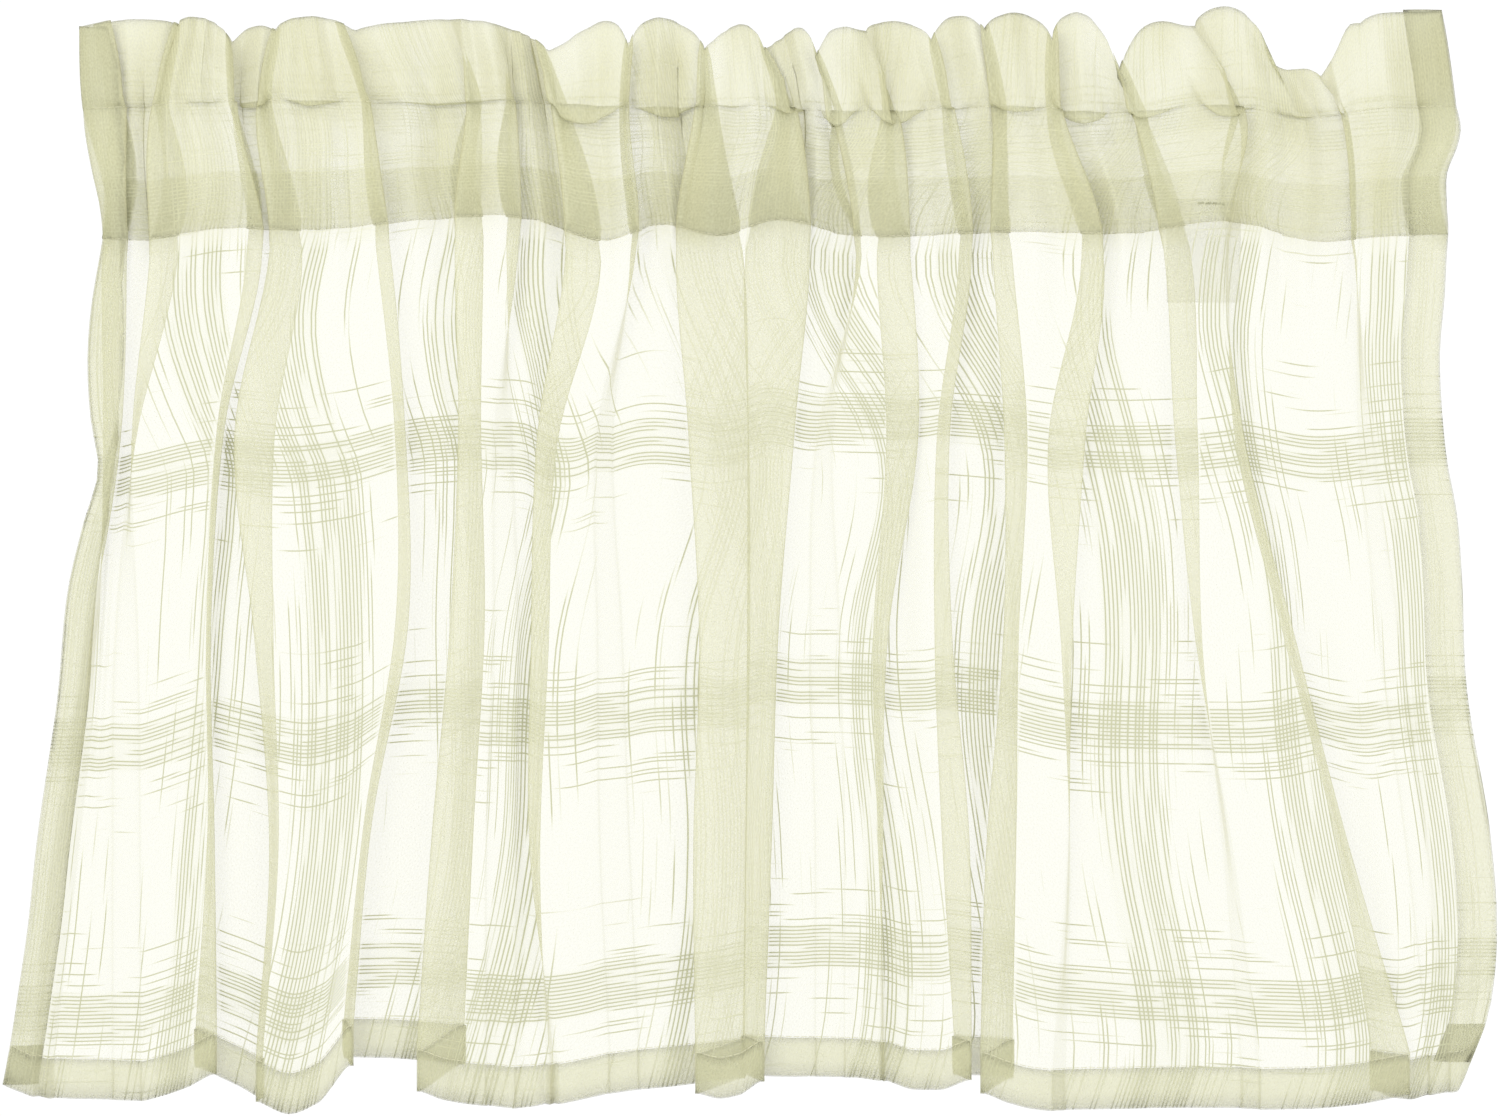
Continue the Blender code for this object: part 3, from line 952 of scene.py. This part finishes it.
class Nodes:
    """A node tree, and the shader in it that the fields feed."""

    def __init__(self, tree, shader):
        self.tree = tree
        self.shader = tree.nodes[shader]

    def node(self, kind, settings, sockets, output=0):
        """A new node, as the field of one of its outputs, by number or by name."""
        made = self.tree.nodes.new(kind)
        for setting, value in settings.items():
            setattr(made, setting, value)
        for key, value in sockets.items():
            if isinstance(value, Field):
                self.tree.links.new(value.socket, made.inputs[key])
            else:
                made.inputs[key].default_value = value
        return Field(self, made.outputs[output])

    def parts(self, vector):
        """The x, y and z of a vector."""
        parted = self.node("ShaderNodeSeparateXYZ", {}, {"Vector": vector})
        return [Field(self, output) for output in parted.socket.node.outputs]

    def feed(self, socket, field):
        self.tree.links.new(field.socket, self.shader.inputs[socket])


class Finish(Nodes):
    """A material of one Principled shader, whose fixed values are set on its own sockets."""

    def __init__(self, name, **fixed):
        self.material = bpy.data.materials.new(name)
        self.material.use_nodes = True
        super().__init__(self.material.node_tree, "Principled BSDF")
        for socket, value in fixed.items():
            self.shader.inputs[socket.replace("_", " ")].default_value = value

    def place(self):
        """Where a point lies on its object."""
        return self.node("ShaderNodeTexCoord", {}, {}, output="Object")

    def noise(self, x, y, detail=0.0):
        """A noise over two fields."""
        place = self.node("ShaderNodeCombineXYZ", {}, {"X": x, "Y": y})
        settings = {"noise_dimensions": "2D"}
        return self.node("ShaderNodeTexNoise", settings, {"Vector": place, "Scale": 1.0, "Detail": detail})

    def blend(self, factor, first, second):
        """A colour between two, by a field."""
        sockets = {"Factor": factor, MIX_FIRST: first, MIX_SECOND: second}
        return self.node("ShaderNodeMix", {"data_type": "RGBA"}, sockets, output=MIX_RESULT)

    def bump(self, height, distance):
        """The normal of a surface raised by a field."""
        sockets = {"Height": height, "Distance": distance, "Strength": 1.0}
        return self.node("ShaderNodeBump", {}, sockets)


# %% [markdown]
# ## The sheer cloth
# Sheerness is coverage: the share of a spot that thread covers, fed to Alpha, so that two and three
# layers grow denser by themselves. Where the cloth runs from front to back its threads stand closer
# behind one another, and the crowding measured above raises the coverage as more layers would. There
# the colour is also darkened, a painted shade that stands in for the threads shading one another. The
# plaid is woven with thicker slub threads, close together in the middle of each band and rarer away
# from it. Across the bands the cloth is cut into cells a thread wide. A slow noise is read along each
# cell, and a slub lies there where the noise is over a threshold that rises away from the band, so that
# threads inside a band are long and those outside it are short and fade at their ends. Where several
# layers lie one behind another their threads cross and no single one stands out, so the plaid is
# divided by their number.

# %% Cloth settings
# Colours, and the share of a spot that thread covers
THREAD_COLOUR = (0.77, 0.765, 0.515, 1)
SLUB_COLOUR = (0.565, 0.57, 0.39, 1)
PAINTED_SHADE_COLOUR = (0.66, 0.64, 0.38, 1)  # painted shade: the darker colour of crowded threads, standing in for their shading one another
GROUND_COVER = 0.285
BAND_COVER = 0.21
SLUB_COVER = 0.75
CREPE_COVER = 0.12
BAND_TINT = 0.4  # how much a band takes on its slubs' colour between them
PAINTED_SHADE_FROM = 1.7  # the crowding from which the painted shade starts
PAINTED_SHADE_RISE = 0.6  # and how quickly the painted shade deepens
# The crepe of the ground
CREPE_WIDTH = 0.8 * MM
CREPE_HEIGHT = 1.1 * MM
CREPE_BUMP = 0.10 * MM
# The slub threads
SLUB_PITCH = 1.55 * MM
SLUB_RISE = 12.0  # how quickly one thickens from its end
SLUB_EDGE = 8.0  # how sharp its sides are
SLUB_SIDE = 0.33  # where they lie in its cell, from the cell's edge
SLUB_SWELL = 0.06  # how much thicker it grows
CELL_SEED = 3.7  # how far apart the noise is read for one cell and the next
WEFT_SEED = 31.0
WARP_SEED = 57.0
WEFT_LENGTH = 45 * MM  # of the noise read along them
WARP_LENGTH = 85 * MM
# The bands that they make
WEFT_BELOW_SEAM = 89  # how far below the seam the middle of one band lies
WEFT_START = (RAW_TURN + HEM + SKIRT_LENGTH - WEFT_BELOW_SEAM) * MM  # measured down the cloth
WEFT_PITCH = 112 * MM
WEFT_CORE = 9.5 * MM  # half the dense middle of a band
WARP_START = 0.0
WARP_PITCH = 80 * MM
WARP_CORE = 12 * MM
BAND_EDGE = 3 * MM  # over which a band fades at its sides
TRAIL = 26 * MM  # how far the single slubs reach beyond a band
# the noise that a slub needs: inside a band, just beyond it, and at the end of its trail
THRESHOLDS = (0.37, 0.50, 0.71)


# %% The slub threads
def slubs(finish, place, along, start, pitch, core, length, seed):
    """Slub threads, and the band they make, that lie across place and run along the other way."""
    inside, beside, far = THRESHOLDS
    distance = (place - start).pingpong(pitch / 2)
    beyond = (distance - core).largest(0.0) / TRAIL
    threshold = beyond * (far - beside) + beside - (distance < core) * (beside - inside)
    cells = place / SLUB_PITCH
    cell = cells.floor()
    swelling = finish.noise(along / length, cell * CELL_SEED + seed, detail=1.0)
    strength = ((swelling - threshold) * SLUB_RISE).clamp()
    middle = cells.pingpong(0.5)  # 0 at the cell's edges, 0.5 along its middle
    thread = ((strength * SLUB_SWELL + middle - SLUB_SIDE) * SLUB_EDGE).clamp() * strength
    band = ((core - distance) / BAND_EDGE + 0.5).clamp() * swelling
    return thread, band


# %% The sheer cloth
def sheer_cloth():
    finish = Finish("sheer_cloth", Roughness=0.85, Specular_IOR_Level=0.0)
    u, v, _ = finish.parts(finish.node("ShaderNodeUVMap", {"uv_map": "OFBake"}, {}))
    p = u * (UV_WIDTH * MM) - (SIDE_TURN + UV_MARGIN) * MM  # across the flat cloth
    q = v * (UV_LENGTH * MM) - UV_MARGIN * MM  # and down it
    weft, weft_band = slubs(finish, q, p, WEFT_START, WEFT_PITCH, WEFT_CORE, WEFT_LENGTH, WEFT_SEED)
    warp, warp_band = slubs(finish, p, q, WARP_START, WARP_PITCH, WARP_CORE, WARP_LENGTH, WARP_SEED)
    crepe = finish.noise(p / CREPE_WIDTH, q / CREPE_HEIGHT) - 0.5
    crowded, layered = (
        finish.node("ShaderNodeAttribute", {"attribute_name": name}, {}, output="Fac")
        for name in ("crowding", "layers")
    )
    blurred = layered * crowded
    slub = weft.largest(warp) / blurred
    bands = weft_band + warp_band
    plaid = slub * SLUB_COVER + bands * BAND_COVER / blurred
    cover = (crepe * CREPE_COVER + plaid + GROUND_COVER).clamp()
    finish.feed("Alpha", 1.0 - (1.0 - cover).power(crowded))
    banded = (slub + bands * BAND_TINT / blurred).clamp()
    # Painted shade: where the cloth is crowded its thread colour is darkened, standing in for threads
    # shading one another.
    painted_shade = ((crowded - PAINTED_SHADE_FROM) * PAINTED_SHADE_RISE).clamp()
    thread_with_painted_shade = finish.blend(painted_shade, THREAD_COLOUR, PAINTED_SHADE_COLOUR)
    finish.feed("Base Color", finish.blend(banded, thread_with_painted_shade, SLUB_COLOUR))
    finish.feed("Normal", finish.bump(crepe, CREPE_BUMP))
    return finish.material


# %% [markdown]
# ## Tape and thread
# The label's tape has fine ribs across it and a slight fuzz. A thread is a little darker in places, as
# its twist turns. Both are too fine to model, so noise and a small bump stand for them.

# %% The tape and the threads
TAPE_RIB = 0.45 * MM
TAPE_FUZZ = 0.6 * MM
TAPE_BUMP = 0.1 * MM
TAPE_COLOURS = ((0.92, 0.92, 0.91, 1), (0.96, 0.96, 0.96, 1))
THREAD_FUZZ = 2500.0  # spots of its noise in a metre
THREAD_SHADE = 0.8  # how dark its darker spots are
IVORY = (0.86, 0.84, 0.60, 1)
DARK = (0.05, 0.045, 0.02, 1)


def woven_tape():
    finish = Finish("woven_tape", Roughness=0.55, Sheen_Weight=0.2, Alpha=0.30)
    x, _, z = finish.parts(finish.place())
    rib = (z / TAPE_RIB).fraction()
    fuzz = finish.noise(x / TAPE_FUZZ, z / TAPE_FUZZ, detail=2.0)
    finish.feed("Base Color", finish.blend(fuzz, *TAPE_COLOURS))
    finish.feed("Normal", finish.bump(rib * 0.5 + fuzz * 0.5, TAPE_BUMP))
    return finish.material


def sewing_thread(name, colour):
    finish = Finish(name, Roughness=0.6, Sheen_Weight=0.2)
    sockets = {"Vector": finish.place(), "Scale": THREAD_FUZZ, "Detail": 1.0}
    fuzz = finish.node("ShaderNodeTexNoise", {}, sockets)
    dark = tuple(THREAD_SHADE * part for part in colour[:3]) + (1,)
    finish.feed("Base Color", finish.blend(fuzz, dark, colour))
    return finish.material


panel.data.materials.append(sheer_cloth())
label.data.materials.append(woven_tape())
ivory_thread = sewing_thread("ivory_thread", IVORY)
heading_thread.data.materials.append(ivory_thread)
hem_thread.data.materials.append(ivory_thread)
label_thread.data.materials.append(sewing_thread("dark_thread", DARK))
print("materials:", [material.name for material in bpy.data.materials])

# %% [markdown]
# ## Attaching the pieces
# Everything rides on the one rigid body. The panel stands for the two cloth solids, and the label for
# its own.

# %% Ride and replace
for piece in (panel, label, heading_thread, hem_thread, label_thread):
    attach(piece, "root")
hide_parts("heading", "skirt")
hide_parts("care_label")
CUT_LENGTH * MM

# %% [markdown]
# ## Camera, light and floor
# The camera looks straight at the middle of the cloth with a long lens. Soft, nearly even light comes
# from all round, with a large soft lamp at the upper left to give the folds a little form.

# %% The camera
VIEW_WIDTH = 0.6206  # metres of the object's plane across the picture
VIEW_HEIGHT_DEPTH = 222.6  # depth of the picture's centre below the top edge
CAMERA_DISTANCE = 1.8
camera_data = bpy.data.cameras.new("camera")
camera = bpy.data.objects.new("camera", camera_data)
camera.location = (0, -CAMERA_DISTANCE, -VIEW_HEIGHT_DEPTH * MM)
camera.rotation_euler = (math.radians(90), 0, 0)
camera_data.lens = camera_data.sensor_width * CAMERA_DISTANCE / VIEW_WIDTH
bpy.context.scene.collection.objects.link(camera)
bpy.context.scene.camera = camera
print("lens:", round(camera_data.lens, 1), "mm")

# %% The light
# The room's brightness from the front (-Y) through the sides to the back (+Y), where the bright
# backdrop stands: place from -1 to 1, brightness
ROOM = [(-1.0, 0.86), (0.0, 0.78), (0.55, 0.80), (0.9, 1.04), (1.0, 1.04)]


def studio_world():
    world = bpy.data.worlds.new("studio")
    world.use_nodes = True
    room = Nodes(world.node_tree, "Background")
    _, y, _ = room.parts(room.node("ShaderNodeTexCoord", {}, {}, output="Generated"))
    half = room.node("ShaderNodeFloatCurve", {}, {"Value": (y + 1) / 2})  # a curve runs from 0 to 1
    mapping = half.socket.node.mapping
    curve = mapping.curves[0]
    for at, brightness in ROOM[1:-1]:
        curve.points.new((at + 1) / 2, brightness / 2)
    curve.points[0].location = (0, ROOM[0][1] / 2)
    curve.points[-1].location = (1, ROOM[-1][1] / 2)
    mapping.update()
    room.shader.inputs["Color"].default_value = (1, 1, 1, 1)
    room.feed("Strength", half * 2)
    return world


bpy.context.scene.world = studio_world()
bpy.context.scene.view_settings.view_transform = "Standard"
# Light passes many layers of sheer cloth and needs few bounces between them
cycles = bpy.context.scene.cycles
cycles.transparent_max_bounces = 12
cycles.max_bounces = 2
cycles.diffuse_bounces = 2
cycles.glossy_bounces = 1
cycles.use_light_tree = False  # two lamps don't need one

# %% The lamps
LAMP_SIZE = 1.0
LAMP_AIM = Vector((0, 0, -0.22))  # about the middle of the cloth


def soft_lamp(name, place, watts):
    data = bpy.data.lights.new(name, "AREA")
    data.shape = "SQUARE"
    data.size = LAMP_SIZE
    data.energy = watts
    lamp = bpy.data.objects.new(name, data)
    lamp.location = place
    lamp.rotation_euler = (LAMP_AIM - lamp.location).to_track_quat("-Z", "Y").to_euler()
    bpy.context.scene.collection.objects.link(lamp)
    print(name, "lamp of", watts, "W")


soft_lamp("key", (-0.9, -1.5, 0.7), 12)
soft_lamp("fill", (1.2, -1.3, -0.1), 5)

# %% The floor
FLOOR_DROP = 0.30  # below the lower edge
FLOOR_RADIUS = 1.3
FLOOR_SIDES = 96
FLOOR_COLOURS = ((0.78, 0.78, 0.77, 1), (0.84, 0.84, 0.83, 1))
FLOOR_MOTTLE = 6.0  # spots in a metre


def pale_floor():
    bm = bmesh.new()
    bmesh.ops.create_circle(bm, cap_ends=True, segments=FLOOR_SIDES, radius=FLOOR_RADIUS)
    bmesh.ops.translate(bm, verts=bm.verts, vec=(0, 0, skirt_low.z - FLOOR_DROP))
    floor = add_piece("floor", bm)
    finish = Finish("pale_floor", Roughness=0.7)
    sockets = {"Vector": finish.place(), "Scale": FLOOR_MOTTLE, "Detail": 4.0}
    mottle = finish.node("ShaderNodeTexNoise", {}, sockets)
    finish.feed("Base Color", finish.blend(mottle, *FLOOR_COLOURS))
    floor.data.materials.append(finish.material)
    return floor


pale_floor()
